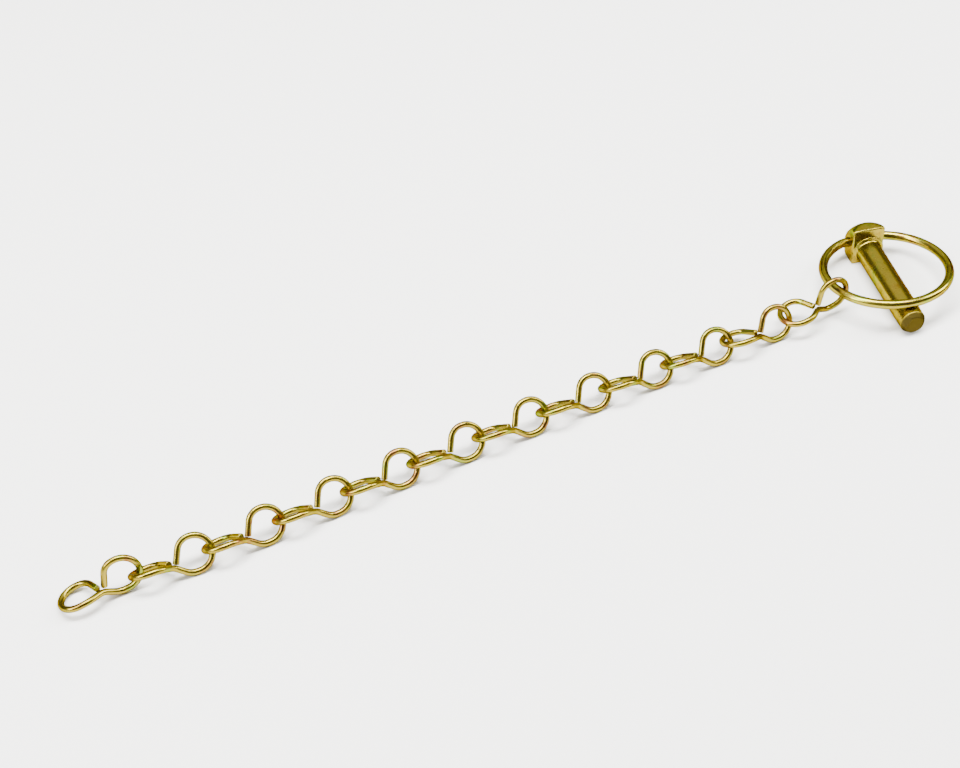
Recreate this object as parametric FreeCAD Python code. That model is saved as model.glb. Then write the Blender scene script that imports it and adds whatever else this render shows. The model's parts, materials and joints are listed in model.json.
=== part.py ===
"""Linch pin with a snap ring and a single-jack wire chain, lying on a flat floor.

Millimetres, +Z up. The origin is on the pin's axis where its straight shank starts, at the end of
the fillet under the head. In plan the shank points along -Y and the chain runs from the ring
towards -X. The shank slopes down slightly to its tip, because the head reaches lower than the
shank does and both rest on the floor.
"""
import FreeCAD, Part
import math
import os

V = FreeCAD.Vector

# ---------------------------------------------------------------- driving dimensions
SHANK_D = 10.0            # pin shank
TIP_OVERHANG = 5.0        # tip beyond the wire of the closed ring
LEAD_MARGIN = 1.2         # the tip's slight taper starts this far before the closed ring
LEAD_DROP = 0.08          # what the taper takes off the radius
TIP_CONE_LENGTH = 1.9
TIP_FACE_D = 7.2
TIP_ROUNDING_R = 0.5
HEAD_OVERLAP = 3.2        # shank and shoulder run on this far inside the head
SHOULDER_WIDTH = 12.6     # arched step in front of the head, round over the shank
SHOULDER_LENGTH = 0.8
ROOT_R = 1.0              # fillet between the shoulder and the shank

HEAD_WIDTH = 13.0         # between its two flat sides, along the ring's pivot
HEAD_RISE = 9.8           # shank's axis to the head's flat top
HEAD_DROP = 5.4           # shank's axis to the head's flat bottom
HEAD_DOME_R = 11.6        # round back of the head
DOME_FORWARD = 1.5        # its centre, on the shank's axis, in front of the head's face
HEAD_LENGTH = 9.4         # head's face to the flat at the dome's end
HEAD_ROUNDING_R = 0.7     # rounding of the head's edges
PIVOT_RISE = 1.5          # ring's pivot above the shank's axis
PIVOT_SETBACK = 4.7       # ring's pivot behind the head's face

RING_OUTER_D = 51.0
RING_WIRE_D = 3.5
RING_END_BEND_R = 6.0     # where the ring turns into the head's cross hole
RING_END_GAP = 2.6        # between the two wire ends, inside the head
RING_HOLE_CLEARANCE = 0.08
RING_REST_GAP = 0.10      # between the closed ring and the shank it rests on
RING_HEAD_GAP = 0.7       # straight wire between the end bend and the head's side

CHAIN_WIRE_D = 2.3
LINK_LENGTH = 30.6        # over the wire, end to end
LINK_GAP = 0.15           # play between two hooked wires
LOOP_RISE = 6.65          # eye's far side above the line of pull
LOOP_DROP = 5.7           # through wire below the line of pull, at the eye
LOOP_END_RUN = 0.15       # straight wire at the eye's end, between its two bends
SHOULDER_X = 4.4          # corner between the cut end's run and the far side, along the link
SHOULDER_BEND_R = 5.0
THROUGH_X = 5.0           # corner between the through wire's two runs, along the link
WAIST_R = 6.0             # bends where the wire crosses from one eye to the other
WAIST_OFFSET = 1.6        # crossing's corner from the link's axis, in each eye's plane
CUT_END_X = 1.1           # cut end's centre from the link's middle, along the link
CUT_END_DEPTH = 1.0       # cut end's centre below the line of pull

# How the chain lies: one value per link, from the ring to the free end, in degrees.
# Lean is how far a link's first eye leans back from upright, and heading is its turn in plan.
LINK_LEAN = [2, 24, 34, 35, 36, 35, 34, 35, 36, 35, 37, 14]
LINK_HEADING = [14.5, 13.0, 12.5, 12.5, 13.5, 13.5, 14.5, 15.0, 15.5, 14.5, 10.5, 9.0]
HOOK_ANGLE = 20.0         # first link's place round the ring, from the ring's side towards the tip
LAST_HOOK_ANGLE = 56.0    # how far the last link's eye has ridden up over the wire that it hooks
FREE_END_HEIGHT = 2.25    # free eye's outer end above the floor, at the wire's centre
FLOOR_GAP = 0.08          # play between a resting link and the floor

# ---------------------------------------------------------------- derived dimensions
LINK_COUNT = len(LINK_LEAN)
SHANK_R = SHANK_D / 2
SHOULDER_R = SHOULDER_WIDTH / 2
ROOT_LENGTH = SHOULDER_LENGTH + ROOT_R            # head's face to the straight shank
RING_WIRE_R = RING_WIRE_D / 2
RING_R = (RING_OUTER_D - RING_WIRE_D) / 2
WIRE_R = CHAIN_WIRE_D / 2
EYE_REACH = LINK_LENGTH / 2 - WIRE_R              # link's middle to the wire's centre at an eye's end
LOOP_R = (LOOP_RISE + LOOP_DROP - LOOP_END_RUN) / 2
LOOP_CENTRE_Y = LOOP_R - LOOP_DROP                # centre of the bend below the eye's end

# The ring in its own plane: the pivot is the X axis, and the ring's far side is towards -Y.
END_BEND_X = HEAD_WIDTH / 2 + RING_HEAD_GAP
END_BEND_ANGLE = math.asin(END_BEND_X / (RING_R - RING_END_BEND_R))
RING_CENTRE_Y = -(RING_R - RING_END_BEND_R) * math.cos(END_BEND_ANGLE) - RING_END_BEND_R
RING_REST_RISE = SHANK_R + RING_WIRE_R + RING_REST_GAP - PIVOT_RISE
RING_TILT = math.asin(RING_REST_RISE / (RING_R - RING_CENTRE_Y))

# Along the shank from the head's face: where the closed ring crosses, the taper, the cone, the tip.
RING_CROSSING = (RING_R - RING_CENTRE_Y) * math.cos(RING_TILT) - PIVOT_SETBACK
LEAD_START = RING_CROSSING - RING_WIRE_R - LEAD_MARGIN
SHANK_LENGTH = RING_CROSSING + TIP_OVERHANG
CONE_START = SHANK_LENGTH - TIP_CONE_LENGTH

# The pin rests on its head's lower edge, under the shoulder, and on the shank where the taper starts.
PIN_SLOPE = math.atan2(HEAD_DROP - SHANK_R, LEAD_START - SHOULDER_LENGTH)
FLOOR_Z = -HEAD_DROP * math.cos(PIN_SLOPE) + ROOT_R * math.sin(PIN_SLOPE)

PIN_TURN = FreeCAD.Rotation(V(1, 0, 0), math.degrees(PIN_SLOPE))
RING_TURN = FreeCAD.Rotation(V(1, 0, 0), math.degrees(PIN_SLOPE - RING_TILT))
PIVOT = PIN_TURN.multVec(V(0, ROOT_LENGTH + PIVOT_SETBACK, PIVOT_RISE))
RING_PLACE = FreeCAD.Placement(PIVOT, RING_TURN)


# ---------------------------------------------------------------- wire
def filleted_path(points, radii):
    """A wire of straight runs through points, with a tangent arc of radii[i] at each inner point."""
    edges = []
    start = points[0]
    for before, corner, after, radius in zip(points, points[1:], points[2:], radii):
        back = (before - corner).normalize()
        ahead = (after - corner).normalize()
        half = back.getAngle(ahead) / 2
        reach = radius / math.tan(half)
        middle = (back + ahead).normalize()
        centre = corner + middle * (radius / math.sin(half))
        arc_start = corner + back * reach
        arc_end = corner + ahead * reach
        arc_middle = centre - middle * radius
        if (arc_start - start).Length > 1e-6:
            edges.append(Part.LineSegment(start, arc_start).toShape())
        edges.append(Part.Arc(arc_start, arc_middle, arc_end).toShape())
        start = arc_end
    edges.append(Part.LineSegment(start, points[-1]).toShape())
    return Part.Wire(edges)


def round_wire(path, radius):
    """A solid of round section swept along path."""
    first = path.Edges[0]
    start = first.valueAt(first.FirstParameter)
    along = first.tangentAt(first.FirstParameter)
    profile = Part.Wire([Part.makeCircle(radius, start, along)])
    return path.makePipeShell([profile], True, True)


# ---------------------------------------------------------------- chain link
def eye_points(across):
    """Corner points of one eye, from its cut end to the link's waist, on the +X side of the link.

    Each is (distance along the link, offset in the eye's plane, offset out of the plane)."""
    return [
        (CUT_END_X * across, -CUT_END_DEPTH, 0),
        (SHOULDER_X * across, LOOP_RISE, 0),
        (EYE_REACH * across, LOOP_RISE, 0),
        (EYE_REACH * across, -LOOP_DROP, 0),
        (THROUGH_X * across, -LOOP_DROP, 0),
    ]


def link_path():
    """The link's wire: first eye in the XY plane towards +X, second eye in the XZ plane towards -X.

    The far side of the first eye is at +Y and that of the second at -Z. Half a turn about the line
    (0, 1, -1) carries the link onto itself."""
    first = [V(x, y, z) for x, y, z in eye_points(1)]
    second = [V(x, z, -y) for x, y, z in reversed(eye_points(-1))]
    points = first + [V(0, -WAIST_OFFSET, WAIST_OFFSET)] + second
    eye_radii = [SHOULDER_BEND_R, LOOP_R, LOOP_R, WAIST_R]
    return filleted_path(points, eye_radii + [WAIST_R] + eye_radii[::-1])


def link_turn(lean, heading, rise):
    """The link's rotation, from its lean, its heading in plan and its rise towards +X, in degrees."""
    along = FreeCAD.Rotation(V(0, 0, 1), heading) * FreeCAD.Rotation(V(0, 1, 0), -rise)
    return along * FreeCAD.Rotation(V(1, 0, 0), 90 - lean)


def hooked_at(other_wire_r, angle):
    """Where the wire that a link hooks lies in its first eye: against the bend, at angle round it."""
    if angle == 0:
        return V(EYE_REACH - WIRE_R - LINK_GAP - other_wire_r, 0, 0)
    inside = LOOP_R - WIRE_R - LINK_GAP - other_wire_r
    turn = math.radians(angle)
    middle_x = EYE_REACH - LOOP_R
    return V(middle_x + inside * math.cos(turn), LOOP_CENTRE_Y - inside * math.sin(turn), 0)


def end_height(index):
    """Height of the wire's centre at the outer end of a link's second eye.

    A link on the floor rests on the far side of that eye and on the next link's through wire."""
    if index == LINK_COUNT - 1:
        return FLOOR_Z + FREE_END_HEIGHT
    far_side = LOOP_RISE * math.sin(math.radians(LINK_LEAN[index]))
    through = 0.0
    if index < LINK_COUNT - 2:
        through = LOOP_DROP * math.cos(math.radians(LINK_LEAN[index + 1]))
    return FLOOR_Z + WIRE_R + FLOOR_GAP + max(far_side, through)


def link_placements():
    """Each link's placement, from the ring to the free end."""
    turn = math.radians(HOOK_ANGLE)
    side = V(-RING_R * math.cos(turn), RING_CENTRE_Y - RING_R * math.sin(turn), 0)
    hooked = RING_PLACE.multVec(side)
    places = []
    for index in range(LINK_COUNT):
        last = index == LINK_COUNT - 1
        other_wire_r = WIRE_R if index else RING_WIRE_R
        inner = hooked_at(other_wire_r, LAST_HOOK_ANGLE if last else 0)
        lean = LINK_LEAN[index]
        drop = hooked.z - inner.y * math.cos(math.radians(lean)) - end_height(index)
        rise = math.degrees(math.asin(drop / (inner.x + EYE_REACH)))
        rotation = link_turn(lean, LINK_HEADING[index], rise)
        place = FreeCAD.Placement(hooked - rotation.multVec(inner), rotation)
        places.append(place)
        hooked = place.multVec(V(-EYE_REACH, 0, 0))
    return places


# ---------------------------------------------------------------- ring and pin
def ring():
    """Open ring of spring wire: two straight ends on the pivot, a bend at each, and the long arc."""
    sine = math.sin(END_BEND_ANGLE)
    cosine = math.cos(END_BEND_ANGLE)
    start = V(-RING_END_GAP / 2, 0, 0)
    bend_start = V(-END_BEND_X, 0, 0)
    bend_middle = V(
        -END_BEND_X - RING_END_BEND_R * math.sin(END_BEND_ANGLE / 2),
        -RING_END_BEND_R * (1 - math.cos(END_BEND_ANGLE / 2)),
        0,
    )
    bend_end = V(-RING_R * sine, RING_CENTRE_Y + RING_R * cosine, 0)
    far_side = V(0, RING_CENTRE_Y - RING_R, 0)

    def other_side(point):
        return V(-point.x, point.y, point.z)

    edges = [
        Part.LineSegment(start, bend_start).toShape(),
        Part.Arc(bend_start, bend_middle, bend_end).toShape(),
        Part.Arc(bend_end, far_side, other_side(bend_end)).toShape(),
        Part.Arc(other_side(bend_end), other_side(bend_middle), other_side(bend_start)).toShape(),
        Part.LineSegment(other_side(bend_start), other_side(start)).toShape(),
    ]
    solid = round_wire(Part.Wire(edges), RING_WIRE_R)
    solid.Placement = RING_PLACE
    return solid


def head():
    """Domed block behind the face at Y = 0: flat sides, top and bottom, its edges rounded."""
    block = Part.makeBox(
        HEAD_WIDTH, HEAD_LENGTH, HEAD_RISE + HEAD_DROP, V(-HEAD_WIDTH / 2, 0, -HEAD_DROP)
    )
    ball = Part.makeSphere(HEAD_DOME_R)
    ball.rotate(V(0, 0, 0), V(0, 0, 1), -90)
    ball.translate(V(0, -DOME_FORWARD, 0))
    domed = block.common(ball)
    return domed.makeFillet(HEAD_ROUNDING_R, domed.Edges)


def shoulder():
    """Step in front of the head, with an arched top, straight sides and the head's flat bottom."""
    length = SHOULDER_LENGTH + HEAD_OVERLAP
    arch = Part.makeCylinder(SHOULDER_R, length, V(0, -SHOULDER_LENGTH, 0), V(0, 1, 0))
    below = Part.makeBox(
        SHOULDER_WIDTH, length, SHOULDER_R, V(-SHOULDER_R, -SHOULDER_LENGTH, -SHOULDER_R)
    )
    return arch.fuse(below).removeSplitter()


def shank():
    """Turned body along -Y from inside the head: root fillet, shank, lead taper and coned tip."""
    middle = ROOT_R * (1 - math.sqrt(0.5))
    root_r = SHANK_R + ROOT_R
    lead_r = SHANK_R - LEAD_DROP
    root_arc = Part.Arc(
        V(root_r, -SHOULDER_LENGTH, 0),
        V(SHANK_R + middle, -SHOULDER_LENGTH - middle, 0),
        V(SHANK_R, -ROOT_LENGTH, 0),
    )
    corners = [
        V(SHANK_R, -ROOT_LENGTH, 0),
        V(SHANK_R, -LEAD_START, 0),
        V(lead_r, -CONE_START, 0),
        V(TIP_FACE_D / 2, -SHANK_LENGTH, 0),
        V(0, -SHANK_LENGTH, 0),
        V(0, HEAD_OVERLAP, 0),
        V(root_r, HEAD_OVERLAP, 0),
        V(root_r, -SHOULDER_LENGTH, 0),
    ]
    edges = [root_arc.toShape()]
    edges += [Part.LineSegment(a, b).toShape() for a, b in zip(corners, corners[1:])]
    turned = Part.Face(Part.Wire(edges)).revolve(V(0, 0, 0), V(0, 1, 0), 360)
    tip_edges = [
        edge for edge in turned.Edges
        if edge.BoundBox.YMax < 0.01 - CONE_START and edge.BoundBox.YLength < 0.01
    ]
    return turned.makeFillet(TIP_ROUNDING_R, tip_edges)


def pin():
    """Head and shank in one piece, with the cross hole that holds the ring's ends."""
    hole = Part.makeCylinder(
        RING_WIRE_R + RING_HOLE_CLEARANCE,
        HEAD_WIDTH + 2,
        V(-HEAD_WIDTH / 2 - 1, PIVOT_SETBACK, PIVOT_RISE),
        V(1, 0, 0),
    )
    reach = SHANK_LENGTH + HEAD_DOME_R
    under = Part.makeBox(4 * reach, 4 * reach, reach, V(-2 * reach, -2 * reach, -HEAD_DROP - reach))
    body = shoulder().fuse(shank()).cut(under)
    solid = head().fuse(body).cut(hole).removeSplitter()
    solid.Placement = FreeCAD.Placement(PIN_TURN.multVec(V(0, ROOT_LENGTH, 0)), PIN_TURN)
    return solid


# ---------------------------------------------------------------- build
os.makedirs("parts", exist_ok=True)
pin().exportStep("parts/pin.step")
ring().exportStep("parts/ring.step")
link = round_wire(link_path(), WIRE_R)
for number, place in enumerate(link_placements(), start=1):
    one = link.copy()
    one.Placement = place
    one.exportStep(f"parts/link_{number:02d}.step")
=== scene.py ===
# %% [markdown]
# A linch pin is a short steel pin that keeps a bigger hitch pin from sliding out. A spring-wire
# ring snaps over its tip, and a chain of bent wire links keeps it from being lost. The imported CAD
# model is loaded first, because every finished piece takes its place from it.

# %% Load the frame and measure it
import json
import math
import bpy
import numpy as np
from mathutils import Matrix, Vector, kdtree


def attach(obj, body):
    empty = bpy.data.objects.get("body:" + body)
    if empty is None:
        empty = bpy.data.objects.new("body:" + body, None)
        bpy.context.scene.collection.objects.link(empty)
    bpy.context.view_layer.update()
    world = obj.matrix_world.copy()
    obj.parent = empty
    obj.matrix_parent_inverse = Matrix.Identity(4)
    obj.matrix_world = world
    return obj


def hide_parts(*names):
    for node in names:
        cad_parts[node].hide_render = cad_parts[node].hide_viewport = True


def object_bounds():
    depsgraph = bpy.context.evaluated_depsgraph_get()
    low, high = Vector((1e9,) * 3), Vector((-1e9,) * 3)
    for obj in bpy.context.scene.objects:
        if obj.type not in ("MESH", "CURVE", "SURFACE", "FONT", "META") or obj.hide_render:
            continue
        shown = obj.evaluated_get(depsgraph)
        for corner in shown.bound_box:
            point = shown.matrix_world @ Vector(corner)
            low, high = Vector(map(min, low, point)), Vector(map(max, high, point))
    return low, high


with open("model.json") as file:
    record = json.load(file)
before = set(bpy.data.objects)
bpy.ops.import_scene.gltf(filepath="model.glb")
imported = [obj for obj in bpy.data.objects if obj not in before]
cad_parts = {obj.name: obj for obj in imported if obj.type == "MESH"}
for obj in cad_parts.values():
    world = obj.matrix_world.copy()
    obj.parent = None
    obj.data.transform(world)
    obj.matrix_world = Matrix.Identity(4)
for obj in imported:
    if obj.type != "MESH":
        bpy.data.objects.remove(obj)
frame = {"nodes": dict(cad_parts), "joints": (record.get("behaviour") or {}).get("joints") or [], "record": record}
cad_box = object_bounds()
MM = 0.001
links = sorted(name for name in frame["nodes"] if name.startswith("link_"))
print("chain links:", len(links), "CAD box:", cad_box)

# %% [markdown]
# The camera comes early, so that every later step is judged in the right view. It is described
# by the point it looks at, how far away it stands, its direction round the object and above the
# floor, and a small roll about its own line of sight. A long lens keeps the chain's links about
# the same size from end to end.

# %% Camera
AIM = np.array([-164.2, -31.2, 0.0]) * MM
DISTANCE = 668.7 * MM
AZIMUTH = math.radians(-11.53)
ELEVATION = math.radians(43.27)
ROLL = math.radians(-3.02)
LENS_LENGTH = 68.57  # of a camera with a 36 mm wide sensor
NEAREST_SEEN = 10 * MM


def camera_turn(azimuth, elevation, roll):
    """Columns are the camera's right, up and backwards. The view direction comes from the two
    angles, right is level, up is square to both, and then right and up turn by the roll."""
    view = np.array([
        -math.sin(azimuth) * math.cos(elevation),
        math.cos(azimuth) * math.cos(elevation),
        -math.sin(elevation),
    ])
    right = np.array([math.cos(azimuth), math.sin(azimuth), 0.0])
    up = np.cross(right, view)
    rolled_right = math.cos(roll) * right + math.sin(roll) * up
    rolled_up = math.cos(roll) * up - math.sin(roll) * right
    return np.column_stack([rolled_right, rolled_up, -view])


turn = camera_turn(AZIMUTH, ELEVATION, ROLL)
lens = bpy.data.cameras.new("camera")
lens.lens = LENS_LENGTH
lens.sensor_width = 36.0
lens.clip_start = NEAREST_SEEN
camera = bpy.data.objects.new("camera", lens)
bpy.context.collection.objects.link(camera)
camera.matrix_world = Matrix.LocRotScale(
    Vector(AIM + turn[:, 2] * DISTANCE), Matrix(turn.tolist()), None
)
bpy.context.scene.camera = camera
print("camera stands at", [round(v, 3) for v in camera.matrix_world.translation])

# %% [markdown]
# Every wire part is bent from straight wire, so its centre line is straight runs joined by round
# bends. A curve object could be drawn by hand, but a bending machine works from corner points and
# bend radii, and the same recipe in code gives the exact line that the CAD solid has.

# %% Centre line of a bent wire
def bent_line(corners, radii, step):
    """Points about one step apart along straight runs through the corners, with an arc of the
    given radius tangent to both runs at each inner corner. An arc's centre lies on the corner's
    bisector at radius / sin(half the corner's angle), and its ends at radius / tan(half)."""
    corners = np.asarray(corners, float)
    pieces = []
    start = corners[0]
    for before, corner, after, radius in zip(corners, corners[1:], corners[2:], radii):
        back = (before - corner) / np.linalg.norm(before - corner)
        ahead = (after - corner) / np.linalg.norm(after - corner)
        half = math.acos(np.clip(back @ ahead, -1, 1)) / 2
        middle = (back + ahead) / np.linalg.norm(back + ahead)
        centre = corner + middle * radius / math.sin(half)
        arc_start = corner + back * radius / math.tan(half)
        arc_end = corner + ahead * radius / math.tan(half)
        run = max(2, int(np.linalg.norm(arc_start - start) / step))
        pieces.append(start + np.linspace(0, 1, run, endpoint=False)[:, None] * (arc_start - start))
        sweep = math.pi - 2 * half
        bend = max(3, int(sweep * radius / step))
        angle = np.linspace(0, sweep, bend, endpoint=False)[:, None]
        out = (arc_start - centre) / radius
        pieces.append(centre + radius * (out * np.cos(angle) - back * np.sin(angle)))
        start = arc_end
    run = max(2, int(np.linalg.norm(corners[-1] - start) / step))
    pieces.append(start + np.linspace(0, 1, run)[:, None] * (corners[-1] - start))
    return np.vstack(pieces)


# %% [markdown]
# One link of single-jack chain is a wire bent into two eyes at a quarter turn to each other. Each
# cut end comes back to the middle and stops just short of the wire that passes through there. The
# two eyes share one list of corners: the second is the first one turned half round, so a single
# description keeps them alike, as the one bending tool does.

# %% Shape of one link
WIRE_D = 2.3
CUT_X, CUT_DEPTH = 1.1, 1.0  # the cut end, along the link and past its axis
EYE_CLOSES_X = 4.4  # from here the eye's upper side slopes down to the cut end
EYE_OPENS_X = 5.0  # and here its lower side leaves the waist
EYE_REACH = 14.15
LOOP_RISE = 6.65
LOOP_DROP = 5.7
END_RUN = 0.15  # straight wire between the two bends at the eye's far end
WAIST_OFFSET = 1.6
CLOSING_BEND_R = 5.0
WAIST_R = 6.0
LOOP_R = (LOOP_RISE + LOOP_DROP - END_RUN) / 2
LINK_BENDS = [CLOSING_BEND_R, LOOP_R, LOOP_R, WAIST_R]


def eye_corners(side):
    """Corners of one eye from its cut end to the waist: along the link, in the eye's plane."""
    return [
        (CUT_X * side, -CUT_DEPTH),
        (EYE_CLOSES_X * side, LOOP_RISE),
        (EYE_REACH * side, LOOP_RISE),
        (EYE_REACH * side, -LOOP_DROP),
        (EYE_OPENS_X * side, -LOOP_DROP),
    ]


first_eye = [(x, y, 0) for x, y in eye_corners(1)]
second_eye = [(x, 0, -y) for x, y in reversed(eye_corners(-1))]
waist = (0, -WAIST_OFFSET, WAIST_OFFSET)
link_line = bent_line(
    first_eye + [waist] + second_eye, LINK_BENDS + [WAIST_R] + LINK_BENDS[::-1], step=0.16
)
wire_length = float(np.linalg.norm(np.diff(link_line, axis=0), axis=1).sum())
print("wire in one link, mm:", round(wire_length, 1))

# %% [markdown]
# A wire's skin is a circle carried along its centre line. Each circle needs two directions square
# to the line. Taking both from one fixed direction that the line never follows keeps the circles
# from spinning. The wire isn't perfect: it is drawn a little out of round, flattens slightly where
# it is bent, and a shear cuts it, which leaves a leaning end face with a rolled edge.

# %% Skin of a wire
AROUND = 32
EDGE_ROLL = 0.22  # of the wire's radius, where the shear rolls the cut edge over
CUT_LEAN = 0.12  # slope of the cut end's face
RIPPLE_DEPTH = 0.003
LONG_RIPPLE, SHORT_RIPPLE = 7.3, 3.1


def wire_rows(length, step, edge):
    """Distances along the wire for the rows of points: even in the middle, closer together where
    the cut edge rolls over, and the end itself twice, for the flat of the cut."""
    close = edge * np.array([0, 0, 0.06, 0.25, 0.55])
    middle = np.linspace(edge, length - edge, max(4, int(length / step)))
    return np.concatenate([close, middle, (length - close)[::-1]])


def wire_skin(line, wire_d, across, step=0.18, flatten=0.02, seed=0):
    """Grid of points: rows follow the line, columns go round it. The radius at a point is half of
    the wire's width, less a flattening that grows with the line's curvature and goes twice round
    the section, less a slow ripple of a few microns. Near an end it falls along a quarter circle,
    and the end's rows lean, by a cosine round the section. Also gives the flattened-out wire,
    round its section in x and y and along it in z, for patterns that follow the wire."""
    radius = wire_d / 2
    edge = EDGE_ROLL * radius
    place = np.concatenate([[0], np.linalg.norm(np.diff(line, axis=0), axis=1).cumsum()])
    rows = wire_rows(place[-1], step, edge)
    centre = np.column_stack([np.interp(rows, place, line[:, k]) for k in range(3)])
    bearing = np.gradient(line, place, axis=0)
    curving = np.linalg.norm(np.gradient(bearing, place, axis=0), axis=1)
    curving = np.convolve(np.pad(curving, 6, mode="edge"), np.ones(13) / 13, mode="valid")
    bent = np.interp(rows, place, curving) * wire_d
    tangent = np.column_stack([np.interp(rows, place, bearing[:, k]) for k in range(3)])
    tangent /= np.linalg.norm(tangent, axis=1)[:, None]
    side = np.cross(tangent, across)
    side /= np.linalg.norm(side, axis=1)[:, None]
    other = np.cross(tangent, side)

    angle = np.linspace(0, 2 * math.pi, AROUND, endpoint=False)
    phase = np.random.default_rng(seed).uniform(0, 2 * math.pi, 3)
    ripple = (
        np.sin(2 * math.pi * rows[:, None] / LONG_RIPPLE + angle * 2 + phase[0])
        + np.sin(2 * math.pi * rows[:, None] / SHORT_RIPPLE - angle * 3 + phase[1])
    )
    to_end = np.minimum(rows, rows[-1] - rows)
    near = np.clip(1 - to_end / edge, 0, 1)
    rolled = edge * (1 - np.sqrt(1 - near ** 2))
    reach = radius * (1 - flatten * bent[:, None] * (1 + np.cos(2 * angle)) / 2)
    reach = reach - RIPPLE_DEPTH * (2 + ripple) - rolled[:, None]
    reach[[0, -1]] *= 0.5
    at_cut = np.clip(1 - to_end / radius, 0, 1)[:, None]
    lean = CUT_LEAN * reach * np.cos(angle + phase[2]) * at_cut
    spread = side[:, None] * np.cos(angle)[:, None] + other[:, None] * np.sin(angle)[:, None]
    grid = centre[:, None] + spread * reach[:, :, None] + tangent[:, None] * lean[:, :, None]
    flat = np.stack([
        np.broadcast_to(np.cos(angle) * radius, reach.shape),
        np.broadcast_to(np.sin(angle) * radius, reach.shape),
        np.broadcast_to(rows[:, None], reach.shape),
    ], axis=2)
    return grid, flat


link_grid, link_flat = wire_skin(link_line, WIRE_D, np.array([0.0, 1.0, 1.0]))
print("one link's skin:", link_grid.shape[0], "rows of", link_grid.shape[1], "points")

# %% [markdown]
# A grid of points becomes a mesh when neighbours are joined by quads. The last column joins the
# first, so the skin has no seam, and a fan of triangles closes each end on one point, so the piece
# is a closed solid like the real one.

# %% Mesh from a grid of points
def closed_mesh(name, grid, flat=None):
    """Quads between neighbouring points of the grid, wrapped round its columns, and a fan from the
    mean of the first row and of the last row. Points are given in millimetres."""
    rows, columns = grid.shape[:2]
    points = np.vstack([grid.reshape(-1, 3), grid[0].mean(0), grid[-1].mean(0)]) * MM
    index = np.arange(rows * columns).reshape(rows, columns)
    ahead = np.roll(index, -1, axis=1)
    quads = np.stack([index[:-1], ahead[:-1], ahead[1:], index[1:]], axis=2).reshape(-1, 4)
    first = np.stack([ahead[0], index[0], np.full(columns, rows * columns)], axis=1)
    last = np.stack([index[-1], ahead[-1], np.full(columns, rows * columns + 1)], axis=1)
    mesh = bpy.data.meshes.new(name)
    mesh.from_pydata(points.tolist(), [], quads.tolist() + first.tolist() + last.tolist())
    mesh.polygons.foreach_set("use_smooth", np.ones(len(mesh.polygons), bool))
    if flat is not None:
        ends = np.array([[0, 0, flat[0, 0, 2]], [0, 0, flat[-1, 0, 2]]])
        values = np.vstack([flat.reshape(-1, 3), ends]) * MM
        along = mesh.attributes.new("along_wire", "FLOAT_VECTOR", "POINT")
        along.data.foreach_set("vector", values.ravel())
    mesh.update()
    return mesh


def solid_facts(points, faces):
    """Volume, centre and spread of a closed triangle mesh: each triangle and the origin make a
    tetrahedron whose signed volume, centre and second moments are added up."""
    a, b, c = points[faces[:, 0]], points[faces[:, 1]], points[faces[:, 2]]
    volume = np.einsum("ij,ij->i", a, np.cross(b, c)) / 6
    total = volume.sum()
    centre = (volume[:, None] * (a + b + c) / 4).sum(0) / total
    summed = a + b + c
    squares = sum(np.einsum("i,ij,ik->jk", volume, p, p) for p in (a, b, c, summed)) / 20
    return total, centre, squares / total - np.outer(centre, centre)


def triangles_of(mesh):
    """The mesh's points and its triangles as arrays, with quads already split."""
    mesh.calc_loop_triangles()
    points = np.empty(len(mesh.vertices) * 3)
    mesh.vertices.foreach_get("co", points)
    faces = np.empty(len(mesh.loop_triangles) * 3, np.int32)
    mesh.loop_triangles.foreach_get("vertices", faces)
    return points.reshape(-1, 3) / MM, faces.reshape(-1, 3)


STEEL_DENSITY = 7.85e-3  # grams in a cubic millimetre
pattern_mesh = closed_mesh("link_pattern", link_grid, link_flat)
link_volume, link_centre, link_spread = solid_facts(*triangles_of(pattern_mesh))
bpy.data.meshes.remove(pattern_mesh)
print("one link weighs", round(link_volume * STEEL_DENSITY, 2), "g")

# %% [markdown]
# Twelve links lie in twelve places. Each CAD link's own mesh tells where: its centre of volume and
# the three axes that its mass spreads along fix its place, up to which way each axis points. The
# four ways are tried, and the one whose points lie closest to the CAD link is kept. That puts a
# finished wire exactly in the space of its CAD solid, without typing in a single position.

# %% Place of each link
def axes_of(spread):
    """Columns are the directions of least, middle and greatest spread, as a right-hand set."""
    columns = np.linalg.eigh(spread)[1]
    columns[:, 2] = np.cross(columns[:, 0], columns[:, 1])
    return columns


def place_like(node, points, centre, spread, samples=400):
    """Turn and shift that carry the finished points onto the CAD node, and how far off they are.
    The turn is the node's axes times the piece's own axes turned back, tried with each pair of
    axes reversed."""
    node_points, node_faces = triangles_of(frame["nodes"][node].data)
    _, node_centre, node_spread = solid_facts(node_points, node_faces)
    tree = kdtree.KDTree(len(node_points))
    for index, point in enumerate(node_points):
        tree.insert(point, index)
    tree.balance()
    node_axes, own_axes = axes_of(node_spread), axes_of(spread)
    chosen = points[:: max(1, len(points) // samples)]
    best = None
    for signs in ((1, 1, 1), (1, -1, -1), (-1, 1, -1), (-1, -1, 1)):
        turned = node_axes @ np.diag(signs) @ own_axes.T
        moved = (chosen - centre) @ turned.T + node_centre
        off = np.mean([tree.find(Vector(point))[2] for point in moved])
        if best is None or off < best[0]:
            best = (off, turned, node_centre - turned @ centre)
    return best


link_places = {}
for name in links:
    link_places[name] = place_like(name, link_grid.reshape(-1, 3), link_centre, link_spread)
print("mean distance to the CAD skin, mm:", [round(float(p[0]), 3) for p in link_places.values()])

# %% [markdown]
# Each link is made afresh with its own seed, so no two have the same ripple or the same lean on
# their cut ends. Copies of one mesh would be lighter, but a chain whose links are all alike looks
# stamped. The pattern along the wire starts further on for each link, as if all were cut from one
# coil.

# %% Twelve finished links
LINK_STRETCH = 90.0  # of the coil's pattern, a little more than the wire in a link


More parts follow.
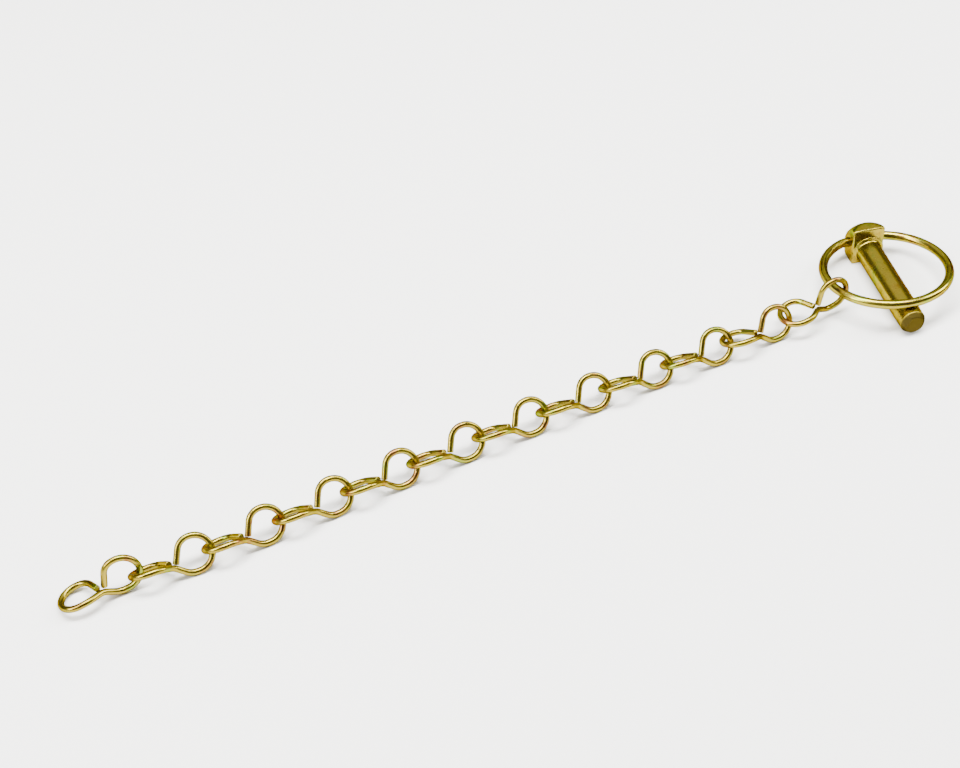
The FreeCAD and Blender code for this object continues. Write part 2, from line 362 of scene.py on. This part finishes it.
def finish_piece(name, mesh, body, node):
    """An object for the mesh that rides on a CAD body and stands for a CAD node."""
    piece = bpy.data.objects.new(name, mesh)
    bpy.context.collection.objects.link(piece)
    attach(piece, body)
    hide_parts(node)
    return piece


chain = []
for number, name in enumerate(links):
    grid, flat = wire_skin(link_line, WIRE_D, np.array([0.0, 1.0, 1.0]), seed=number)
    _, turned, shift = link_places[name]
    flat = flat + np.array([0.0, 0.0, LINK_STRETCH * number])
    mesh = closed_mesh("wire_" + name, grid @ turned.T + shift, flat)
    chain.append(finish_piece("wire_" + name, mesh, name, name))
print("links made:", len(chain), "triangles each:", len(chain[0].data.loop_triangles))

# %% [markdown]
# The ring is one hoop of thicker spring wire. Its two ends turn inwards and sit in the head's
# cross hole, on one line, which is the ring's hinge. The hinge's place is known from the joint, and
# the way to the ring's own centre of volume gives the slope that it rests at.

# %% Ring
RING_WIRE_D = 3.5
RING_R = 23.75
RING_END_BEND_R = 6.0
END_GAP = 2.6
END_BEND_X = 7.2


def ring_line(step=0.3):
    """Half of the hoop, mirrored: a straight end on the hinge, a bend inwards of the end radius,
    and the hoop's arc. The two arcs touch where the centres and the touching point line up."""
    bend = math.asin(END_BEND_X / (RING_R - RING_END_BEND_R))
    centre_y = -(RING_R - RING_END_BEND_R) * math.cos(bend) - RING_END_BEND_R
    straight = np.linspace(END_GAP / 2, END_BEND_X, 20, endpoint=False)
    corner = np.linspace(0, bend, 12, endpoint=False)
    hoop = np.linspace(bend, math.pi, int(math.pi * RING_R / step))
    half = np.vstack([
        np.column_stack([straight, straight * 0]),
        np.column_stack([
            END_BEND_X + RING_END_BEND_R * np.sin(corner),
            RING_END_BEND_R * (np.cos(corner) - 1),
        ]),
        np.column_stack([RING_R * np.sin(hoop), centre_y + RING_R * np.cos(hoop)]),
    ])
    whole = np.vstack([half, (half * [-1, 1])[::-1][1:]])
    return np.column_stack([whole, np.zeros(len(whole))])


hinge = next(joint for joint in frame["joints"] if joint["name"] == "ring_swing")
hinge_at = np.array(hinge["pos_m"]) / MM
ring_points, ring_faces = triangles_of(frame["nodes"]["ring"].data)
to_centre = solid_facts(ring_points, ring_faces)[1] - hinge_at
ring_slope = math.atan2(-to_centre[2], -to_centre[1])


def turned_about_x(slope):
    """Turn about the X axis that lifts +Y by the slope."""
    sine, cosine = math.sin(slope), math.cos(slope)
    return np.array([[1, 0, 0], [0, cosine, -sine], [0, sine, cosine]])


ring_grid, ring_flat = wire_skin(
    ring_line(), RING_WIRE_D, np.array([0.0, 0.0, 1.0]), step=0.32, flatten=0.01, seed=40
)
ring_mesh = closed_mesh("wire_ring", ring_grid @ turned_about_x(ring_slope).T + hinge_at, ring_flat)
ring = finish_piece("wire_ring", ring_mesh, "ring", "ring")
print("ring slopes", round(math.degrees(ring_slope), 2), "degrees; hinge at", np.round(hinge_at, 2))

# %% [markdown]
# The pin is forged: a domed head with flat sides, an arched step in front of it, then a turned
# shank with a coned tip. Seen along the shank's axis, every slice of it can be told by one
# distance from the axis in each direction. A flat side is a distance over a cosine, a round is a
# constant, and the nearest of them wins. Blending that choice a little rounds the edges, as the
# forging die does.

# %% Slices of the pin
HEAD_HALF_WIDTH = 6.5
HEAD_RISE = 9.8
HEAD_DROP = 5.4
DOME_R = 11.6
DOME_FORWARD = 1.5
HEAD_LENGTH = 9.4
HEAD_EDGE_R = 0.7
SHOULDER_R = 6.3
SHOULDER_LENGTH = 0.8
ROOT_R = 1.0
ROOT_LENGTH = SHOULDER_LENGTH + ROOT_R
SHANK_R = 5.0
turning_angle = np.linspace(0, 2 * math.pi, 192, endpoint=False)
across_x, across_z = np.cos(turning_angle), np.sin(turning_angle)


def flat_distance(offset, direction):
    """Distance along each direction to a flat that stands the offset away: offset over the
    cosine, or nothing in the way where the direction points elsewhere."""
    return offset / np.clip(direction, 1e-4, None)


def nearest(distances, sharpness):
    """Soft least of several distances: the inverse root of the sum of their inverse powers."""
    base = np.min(distances, axis=0)
    return base * sum((base / one) ** sharpness for one in distances) ** (-1 / sharpness)


def head_slice(y):
    """Nearest of the dome, a ball whose centre is in front of the head's face, and the flats."""
    flats = np.minimum.reduce([
        flat_distance(HEAD_RISE, across_z), flat_distance(HEAD_DROP, -across_z)
    ])
    sides = flat_distance(HEAD_HALF_WIDTH, abs(across_x))
    dome = np.sqrt(DOME_R ** 2 - (min(y, HEAD_LENGTH) + DOME_FORWARD) ** 2) * np.ones_like(across_x)
    return nearest(np.array([flats, sides, dome]), 44)


def shoulder_slice():
    """Round over the shank, straight down the sides and flat below."""
    arch = np.where(across_z > 0, SHOULDER_R, flat_distance(SHOULDER_R, abs(across_x)))
    return nearest(np.array([arch, flat_distance(HEAD_DROP, -across_z)]), 60)


def edge_inset(depth, radius):
    """How far a rounded edge stands back at a depth below the end: a quarter circle."""
    return radius - np.sqrt(radius ** 2 - (radius - np.clip(depth, 0, radius)) ** 2)


# %% [markdown]
# The slices are stacked from the dome's end to the tip. Where an end face is flat, slices at one
# height shrink from the outline to the next part's outline, so head, step, shank and tip are one
# closed skin, as the real pin is one piece of steel.

# %% Stack of slices
axis_to_tip = np.array(frame["record"]["mounts"][0]["axis"])
pin_slope = math.atan2(-axis_to_tip[2], -axis_to_tip[1])
from_hinge = np.linalg.norm((ring_points - hinge_at)[:, 1:], axis=1)
ring_reach = float(np.max(from_hinge)) - RING_WIRE_D / 2
CROSS_HOLE_Y = 4.7
CROSS_HOLE_Z = 1.5
RING_REST_GAP = 0.1
TIP_OVERHANG = 5.0  # the tip runs on this far past the closed ring
CONE_LENGTH = 1.9
LEAD_MARGIN = 1.2  # the shank's slight taper starts this far before the ring
CONE_R, TIP_R = 4.92, 3.6
STEP_EDGE_R = 0.35
DOME_END_ROLL = 0.12  # the dome's end flat has a rolled edge this deep
ring_rise = SHANK_R + RING_WIRE_D / 2 + RING_REST_GAP - CROSS_HOLE_Z
crossing = math.sqrt(ring_reach ** 2 - ring_rise ** 2) - CROSS_HOLE_Y
TIP_Y = -(crossing + TIP_OVERHANG)
CONE_Y = TIP_Y + CONE_LENGTH
LEAD_Y = -(crossing - RING_WIRE_D / 2 - LEAD_MARGIN)

rows = []
for share in (0.02, 0.3, 0.6, 0.85):
    rows.append((HEAD_LENGTH, head_slice(HEAD_LENGTH - 0.05) * share))
for depth in (0.0, 0.02, 0.06, DOME_END_ROLL):
    drawn_in = 0.09 * (1 - depth / DOME_END_ROLL) ** 2
    rows.append((HEAD_LENGTH - depth, head_slice(HEAD_LENGTH - depth) - drawn_in))
for y in np.linspace(HEAD_LENGTH - 0.25, HEAD_EDGE_R, 46):
    rows.append((y, head_slice(y)))
for y in HEAD_EDGE_R * (1 - np.sin(np.linspace(0.1, math.pi / 2, 9))):
    rows.append((y, np.maximum(head_slice(y) - edge_inset(y, HEAD_EDGE_R), shoulder_slice())))
outline = rows[-1][1]
step_outline = np.minimum(shoulder_slice(), outline)
for share in (0.35, 0.7, 0.92, 0.985):
    rows.append((0.0, outline + (step_outline - outline) * share))
for y in (-0.02, -0.12, -0.3, -0.45):
    rows.append((y, step_outline))
for y in -SHOULDER_LENGTH + STEP_EDGE_R * (1 - np.sin(np.linspace(0.1, math.pi / 2, 7))):
    rows.append((y, step_outline - edge_inset(y + SHOULDER_LENGTH, STEP_EDGE_R)))
bottom = flat_distance(HEAD_DROP, -across_z)
for turn_share in np.linspace(0, math.pi / 2, 12):
    y = -ROOT_LENGTH + ROOT_R * math.cos(turn_share)
    reach = SHANK_R + ROOT_R * (1 - math.sin(turn_share))
    inside_step = np.minimum(bottom, step_outline - STEP_EDGE_R)
    rows.append((y, np.minimum(np.full_like(bottom, reach), inside_step)))
shank_corners = [
    (SHANK_R, -ROOT_LENGTH, 0), (SHANK_R, LEAD_Y, 0), (CONE_R, CONE_Y, 0),
    (TIP_R, TIP_Y, 0), (0.1, TIP_Y, 0),
]
shank_line = bent_line(shank_corners, [8.0, 0.6, 0.5], step=0.12)
print("pin reaches from", HEAD_LENGTH, "to", round(TIP_Y, 2), "mm")
print("pin slopes", round(math.degrees(pin_slope), 2), "degrees")

# %% [markdown]
# A forged head is never quite flat, and a shank that was cropped from bar has a rough end. Small
# waves over the head stand for the forging, and three slanted flats across the tip for the places
# where the crop tore the bar.

# %% Skin of the pin
WAVE_LENGTHS = (9.0, 6.5, 4.8, 3.7, 2.9)
WAVE_DEPTH = 0.10
TORN_FLATS = ((150, 48, 0.75), (20, 56, 0.30), (265, 60, 0.35))  # roll, tilt, depth
heights = np.array([y for y, _ in rows] + list(shank_line[1:, 1]))
shank_reaches = [np.full(len(turning_angle), reach) for reach in shank_line[1:, 0]]
reaches = np.vstack([reach for _, reach in rows] + shank_reaches)


def forged_waves(y, rng):
    """Sum of slow waves over the slices, each with its own direction and start, from 0 to 1."""
    total = 0
    for length in WAVE_LENGTHS:
        bearing, phase = rng.uniform(0, 2 * math.pi, 2)
        twist = rng.integers(1, 5)
        along = 2 * math.pi * y * math.cos(bearing) / length
        total = total + np.sin(along + twist * turning_angle + phase)
    return 0.5 + total / 10


def tip_flat(y, roll, tilt, depth):
    """Distance to a plane that slants across the tip's edge, towards one side of the pin."""
    facing = np.cos(turning_angle - math.radians(roll))
    from_tip = (y - TIP_Y)[:, None]
    plane = TIP_R - depth + from_tip * math.tan(math.radians(tilt))
    return np.where(facing > 0.05, plane / np.clip(facing, 0.05, None), 99.0)


forging = forged_waves(heights[:, None], np.random.default_rng(5))
on_head = np.clip((heights + SHOULDER_LENGTH) / 1.5, 0, 1)[:, None]
reaches = reaches - WAVE_DEPTH * forging * on_head * np.clip(reaches / 4, 0, 1)
for roll, tilt, depth in TORN_FLATS:
    cut = tip_flat(heights, roll, tilt, depth)
    at_tip = heights[:, None] < CONE_Y + 1.0
    reaches = np.where(at_tip, np.minimum(reaches, cut), reaches)
local = np.stack([
    reaches * across_x,
    np.broadcast_to(heights[:, None], reaches.shape),
    reaches * across_z,
], axis=2)
pin_turn = turned_about_x(pin_slope)
pin_grid = (local + [0, ROOT_LENGTH, 0]) @ pin_turn.T
pin_mesh = closed_mesh("forged_pin", pin_grid)
print("pin skin:", pin_grid.shape[0], "slices; width", round(float(np.ptp(local[..., 0])), 2), "mm")

# %% [markdown]
# The ring's ends go into a drilled hole across the head. Drilling is a cut, so a boolean does it:
# the cutter is a turned rod whose ends open a little, and that gives the hole's mouths the small
# flare that a countersink leaves.

# %% Cross hole
HOLE_R = RING_WIRE_D / 2 + 0.08
hole_profile = np.array([
    (-9.0, HOLE_R + 0.3), (-HEAD_HALF_WIDTH - 0.05, HOLE_R + 0.3), (-HEAD_HALF_WIDTH + 0.3, HOLE_R),
    (0.0, HOLE_R), (HEAD_HALF_WIDTH - 0.3, HOLE_R), (HEAD_HALF_WIDTH + 0.05, HOLE_R + 0.3),
    (9.0, HOLE_R + 0.3),
])
round_hole = np.linspace(0, 2 * math.pi, 64, endpoint=False)
cutter_grid = np.stack([
    np.broadcast_to(hole_profile[:, :1], (len(hole_profile), 64)),
    CROSS_HOLE_Y + hole_profile[:, 1:] * np.cos(round_hole),
    CROSS_HOLE_Z + hole_profile[:, 1:] * np.sin(round_hole),
], axis=2)
cutter = bpy.data.objects.new(
    "hole_cutter", closed_mesh("hole_cutter", (cutter_grid + [0, ROOT_LENGTH, 0]) @ pin_turn.T)
)
bpy.context.collection.objects.link(cutter)


def outward(mesh):
    """True if the closed mesh's faces point out, which makes its summed volume positive."""
    return solid_facts(*triangles_of(mesh))[0] > 0


def facing_out(mesh):
    """Turns the faces over if they point in."""
    if not outward(mesh):
        mesh.flip_normals()
        mesh.update()
    return outward(mesh)


meshes = [pin_mesh, cutter.data, ring_mesh] + [piece.data for piece in chain]
print("faces point out:", all([facing_out(mesh) for mesh in meshes]))


def cut_with(piece, tool, name):
    """Takes the tool's solid out of the piece, applies that, and drops the tool."""
    cut = piece.modifiers.new(name, "BOOLEAN")
    cut.operation = "DIFFERENCE"
    cut.solver = "EXACT"
    cut.object = tool
    made = bpy.data.meshes.new_from_object(
        piece.evaluated_get(bpy.context.evaluated_depsgraph_get())
    )
    piece.modifiers.clear()
    piece.data = made
    bpy.data.objects.remove(tool)
    made.polygons.foreach_set("use_smooth", np.ones(len(made.polygons), bool))
    made.set_sharp_from_angle(angle=math.radians(38))
    return len(made.polygons)


pin = bpy.data.objects.new("forged_pin", pin_mesh)
bpy.context.collection.objects.link(pin)
bpy.context.view_layer.update()
print("pin faces after drilling:", cut_with(pin, cutter, "cross hole"))
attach(pin, "pin")
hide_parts("pin")

# %% [markdown]
# A material is a small graph. One function turns a colour written as hex into the linear numbers
# that the renderer works in, and one adds a node with its settings and its links, so that each
# finish below reads as a list of its layers.

# %% Colours and nodes
MIX_A, MIX_B, MIX_RESULT = 6, 7, 2  # a colour mix node's sockets, by their order


def hex_colour(text):
    """sRGB hex to linear: divide by 12.92 below 0.04045, else ((c + 0.055) / 1.055) to the 2.4."""
    srgb = np.array([int(text[k:k + 2], 16) for k in (1, 3, 5)]) / 255
    linear = np.where(srgb <= 0.04045, srgb / 12.92, ((srgb + 0.055) / 1.055) ** 2.4)
    return (*linear.tolist(), 1.0)


def add_node(tree, kind, settings=None, values=None, links=None, stops=None):
    """A node of the kind, with settings, its sockets' values and links, and a ramp's stops."""
    made = tree.nodes.new(kind)
    for key, value in (settings or {}).items():
        setattr(made, key, value)
    for key, value in (values or {}).items():
        made.inputs[key].default_value = value
    for key, source in (links or {}).items():
        tree.links.new(source, made.inputs[key])
    if stops:
        elements = made.color_ramp.elements
        while len(elements) < len(stops):
            elements.new(0.5)
        for element, (place, colour) in zip(elements, stops):
            element.position = place
            element.color = hex_colour(colour)
    return made


# %% [markdown]
# Yellow zinc is a thin layer of zinc, dipped in chromate, which leaves a film a few hundred
# nanometres thick. The steel under it shows through as a bright metal, and the film's thickness
# gives the colour: straw gold for the most part, green where it is thinner and pinkish brown where
# it is thicker. So the base colour wanders slowly between those, a few millimetres at a time. The
# drawn wire keeps its die lines along its length, and the plating has a fine pebble.

# %% Yellow zinc on drawn wire
FILM_PATCH = 5.5 * MM
DIE_LINE = 0.22 * MM
PEBBLE = 0.35 * MM
GRAZING_TINT = "#6F6C2C"  # the film looks darker and greener where the eye meets it at a slant


def plated_wire(name, gold, green, brown, roughness):
    """Chromate colour from slow noise, die lines stretched along the wire, and pebble on top."""
    material = bpy.data.materials.new(name)
    material.use_nodes = True
    tree = material.node_tree
    shader = tree.nodes["Principled BSDF"]
    place = add_node(tree, "ShaderNodeTexCoord")
    along = add_node(tree, "ShaderNodeAttribute", {"attribute_name": "along_wire"})
    film = add_node(
        tree, "ShaderNodeTexNoise",
        values={"Scale": 1 / FILM_PATCH, "Detail": 3.0, "Roughness": 0.6},
        links={"Vector": place.outputs["Object"]},
    )
    colour = add_node(
        tree, "ShaderNodeValToRGB", links={"Fac": film.outputs["Fac"]},
        stops=[(0.34, green), (0.45, gold), (0.55, gold), (0.68, brown)],
    )
    lines_along = add_node(
        tree, "ShaderNodeMapping", values={"Scale": (1.0, 1.0, 0.03)},
        links={"Vector": along.outputs["Vector"]},
    )
    die_lines = add_node(
        tree, "ShaderNodeTexNoise", values={"Scale": 1 / DIE_LINE, "Detail": 2.0},
        links={"Vector": lines_along.outputs["Vector"]},
    )
    pebble = add_node(
        tree, "ShaderNodeTexNoise", values={"Scale": 1 / PEBBLE, "Detail": 3.0},
        links={"Vector": place.outputs["Object"]},
    )
    shine = add_node(
        tree, "ShaderNodeMapRange",
        values={"From Min": 0.3, "From Max": 0.7,
                "To Min": roughness - 0.05, "To Max": roughness + 0.09},
        links={"Value": die_lines.outputs["Fac"]},
    )
    line_bump = add_node(
        tree, "ShaderNodeBump", values={"Strength": 0.25, "Distance": 0.02 * MM},
        links={"Height": die_lines.outputs["Fac"]},
    )
    pebble_bump = add_node(
        tree, "ShaderNodeBump", values={"Strength": 0.22, "Distance": 0.03 * MM},
        links={"Height": pebble.outputs["Fac"], "Normal": line_bump.outputs["Normal"]},
    )
    shader.inputs["Metallic"].default_value = 1.0
    shader.inputs["Specular Tint"].default_value = hex_colour(GRAZING_TINT)
    tree.links.new(colour.outputs["Color"], shader.inputs["Base Color"])
    tree.links.new(shine.outputs["Result"], shader.inputs["Roughness"])
    tree.links.new(pebble_bump.outputs["Normal"], shader.inputs["Normal"])
    return material


chain_finish = plated_wire("yellow zinc on drawn chain wire", "#8B7A2A", "#787E2C", "#80592E", 0.25)
ring_finish = plated_wire("yellow zinc on spring wire", "#91842F", "#7F8730", "#80602E", 0.22)
for piece in chain:
    piece.data.materials.append(chain_finish)
ring.data.materials.append(ring_finish)
print("wire finishes:", chain_finish.name, "/", ring_finish.name)

# %% [markdown]
# The pin has the same plating over rougher, forged steel. Its film changes in bigger patches, and
# a second, finer mottling changes the shine with the colour. The tip was cropped from the bar, and
# torn steel takes the plating duller, so its roughness changes over at the cone's edge. Its colour
# turns dark brown there too, as painted shade for the dark room that the end face reflects.

# %% Yellow zinc on the forged pin
PIN_PATCH = 8.0 * MM
MOTTLE = 3.2 * MM
# painted shade: this dark colour on the tip stands in for the dark room that its end face reflects
TIP_PAINTED_SHADE = "#443A17"
TIP_ROUGHER = 0.26
TIP_BLEND = 0.3  # half of the change-over's width, along the pin
FORGED_PEBBLE = 0.55 * MM


def plated_forging(name):
    """Slow film colour, darkened by mottling a few millimetres wide, over a pebbled surface. Past
    the cone's edge the colour goes over to the tip's painted shade, and its extra roughness is added."""
    material = bpy.data.materials.new(name)
    material.use_nodes = True
    tree = material.node_tree
    shader = tree.nodes["Principled BSDF"]
    place = add_node(tree, "ShaderNodeTexCoord")
    film = add_node(
        tree, "ShaderNodeTexNoise",
        values={"Scale": 1 / PIN_PATCH, "Detail": 4.0, "Roughness": 0.6},
        links={"Vector": place.outputs["Object"]},
    )
    colour = add_node(
        tree, "ShaderNodeValToRGB", links={"Fac": film.outputs["Fac"]},
        stops=[(0.30, "#7C8430"), (0.44, "#94842C"), (0.64, "#9A842C"), (0.78, "#86642E")],
    )
    mottle = add_node(
        tree, "ShaderNodeTexNoise", values={"Scale": 1 / MOTTLE, "Detail": 3.0, "Roughness": 0.55},
        links={"Vector": place.outputs["Object"]},
    )
    stain = add_node(
        tree, "ShaderNodeValToRGB", links={"Fac": mottle.outputs["Fac"]},
        stops=[(0.34, "#B9A878"), (0.52, "#FFFFFF")],
    )
    stained = add_node(
        tree, "ShaderNodeMix", {"data_type": "RGBA", "blend_type": "MULTIPLY"}, {"Factor": 0.4},
        {MIX_A: colour.outputs["Color"], MIX_B: stain.outputs["Color"]},
    )
    cone_at = CONE_Y + ROOT_LENGTH - 0.1
    parts = add_node(tree, "ShaderNodeSeparateXYZ", links={"Vector": place.outputs["Object"]})
    # mask of the tip past the cone's edge: it carries the painted shade colour and the extra roughness
    tip_shade_and_roughness = add_node(
        tree, "ShaderNodeMapRange",
        values={"From Min": (cone_at + TIP_BLEND) * MM, "From Max": (cone_at - TIP_BLEND) * MM},
        links={"Value": parts.outputs["Y"]},
    )
    # painted shade on the tip, mixed over the film colour
    with_painted_tip_shade = add_node(
        tree, "ShaderNodeMix", {"data_type": "RGBA"}, {MIX_B: hex_colour(TIP_PAINTED_SHADE)},
        {"Factor": tip_shade_and_roughness.outputs["Result"], MIX_A: stained.outputs[MIX_RESULT]},
    )
    shine = add_node(
        tree, "ShaderNodeMapRange",
        values={"From Min": 0.3, "From Max": 0.7, "To Min": 0.30, "To Max": 0.21},
        links={"Value": mottle.outputs["Fac"]},
    )
    pebble = add_node(
        tree, "ShaderNodeTexNoise", values={"Scale": 1 / FORGED_PEBBLE, "Detail": 3.0},
        links={"Vector": place.outputs["Object"]},
    )
    bump = add_node(
        tree, "ShaderNodeBump", values={"Strength": 0.09, "Distance": 0.04 * MM},
        links={"Height": pebble.outputs["Fac"]},
    )
    rougher = add_node(
        tree, "ShaderNodeMath", {"operation": "MULTIPLY_ADD"}, {1: TIP_ROUGHER},
        {0: tip_shade_and_roughness.outputs["Result"], 2: shine.outputs["Result"]},
    )
    shader.inputs["Metallic"].default_value = 1.0
    shader.inputs["Specular Tint"].default_value = hex_colour(GRAZING_TINT)
    tree.links.new(with_painted_tip_shade.outputs[MIX_RESULT], shader.inputs["Base Color"])
    tree.links.new(rougher.outputs["Value"], shader.inputs["Roughness"])
    tree.links.new(bump.outputs["Normal"], shader.inputs["Normal"])
    return material


pin.data.materials.clear()
pin.data.materials.append(plated_forging("yellow zinc on forged steel"))
print("pin finish:", pin.data.materials[0].name)

# %% [markdown]
# The pin's chain lies on a pale sheet, which sits at the bottom of the CAD box, where the lowest
# links touch. A single big quad is enough, because the sheet is flat, matt and has no edge in view.

# %% Floor
FLOOR_HALF = 2.5
floor_z = cad_box[0][2]
floor_corners = [
    (x * FLOOR_HALF, y * FLOOR_HALF, floor_z) for x, y in ((-1, -1), (1, -1), (1, 1), (-1, 1))
]
floor_mesh = bpy.data.meshes.new("floor")
floor_mesh.from_pydata(floor_corners, [], [(0, 1, 2, 3)])
floor = bpy.data.objects.new("floor", floor_mesh)
bpy.context.collection.objects.link(floor)
paper = bpy.data.materials.new("matt white paper")
paper.use_nodes = True
paper_shader = paper.node_tree.nodes["Principled BSDF"]
paper_shader.inputs["Base Color"].default_value = hex_colour("#F4F3F0")
paper_shader.inputs["Roughness"].default_value = 0.9
paper_shader.inputs["Specular IOR Level"].default_value = 0.1
floor_mesh.materials.append(paper)
print("floor at", round(floor_z / MM, 2), "mm")

# %% [markdown]
# Bright metal has no look of its own: it shows what is round it. Broad lamps give the long pale
# highlights, and the dim room between them gives the dark bands that make a wire look round. One
# helper turns each lamp towards the object's middle.

# %% Lights
MIDDLE = Vector((-0.16, -0.03, 0.0))


def soft_lamp(name, place, size, watts):
    """A square lamp at the place, in metres from the object's middle, turned towards it."""
    data = bpy.data.lights.new(name, "AREA")
    data.shape = "RECTANGLE"
    data.size, data.size_y = size
    data.energy = watts
    lamp = bpy.data.objects.new(name, data)
    lamp.location = MIDDLE + Vector(place)
    lamp.rotation_euler = (-Vector(place)).to_track_quat("-Z", "Y").to_euler()
    bpy.context.collection.objects.link(lamp)
    return lamp


soft_lamp("top lamp", (0.0, 0.1, 1.2), (1.2, 0.35), 62)
soft_lamp("left lamp", (-1.1, -0.3, 0.9), (0.35, 0.9), 38)
soft_lamp("right lamp", (1.1, 0.1, 0.8), (0.3, 0.8), 24)
soft_lamp("back panel", (0.1, 1.1, 1.0), (1.8, 0.8), 4.5)
room = bpy.data.worlds.new("room")
room.use_nodes = True
room.node_tree.nodes["Background"].inputs["Color"].default_value = hex_colour("#CFCFCC")
room.node_tree.nodes["Background"].inputs["Strength"].default_value = 0.26
bpy.context.scene.world = room
